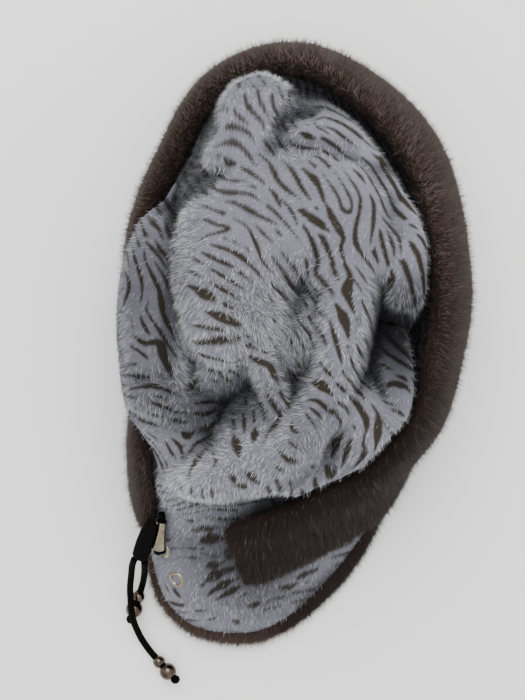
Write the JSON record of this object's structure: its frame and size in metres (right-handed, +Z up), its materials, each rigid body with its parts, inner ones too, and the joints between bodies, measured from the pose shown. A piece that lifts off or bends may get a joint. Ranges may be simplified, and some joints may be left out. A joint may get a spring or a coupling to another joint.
{
  "type": "fur hat",
  "caption": "Soft fur hat lying collapsed on its hem: striped short-fur crown sunk in folds, dark fur band open at the back, drawstring with stopper and beads",
  "frame": {"origin": "middle of the hat's outline on the surface that its hem rests on", "axes": "+Z up, +Y towards the front of the hat, +X to its right as seen from above"},
  "size_m": [0.1687, 0.3121, 0.1034],
  "materials": {
    "crown_fur": "short sheared fur, lilac grey with dark brown stripes",
    "band_fur": "short dense fur, dark red-brown with a soft sheen",
    "hem_fur": "short fur, brown",
    "pale_metal": "smooth, pale champagne",
    "cord": "braided, matt black",
    "bronze": "polished dark bronze"
  },
  "bodies": {
    "root": {"crown": "crown_fur", "brim_band": "band_fur", "hem": "hem_fur", "eyelet_left": "pale_metal", "eyelet_right": "pale_metal", "cord_stopper": "pale_metal", "cord_wrap": "cord", "cord_loop": "cord", "cord_long": "cord", "cord_short": "cord", "bead_long_small": "bronze", "bead_long_large": "bronze", "end_knot_long": "cord", "bead_short_small": "bronze", "bead_short_large": "bronze", "end_knot_short": "cord"}
  },
  "joints": []
}
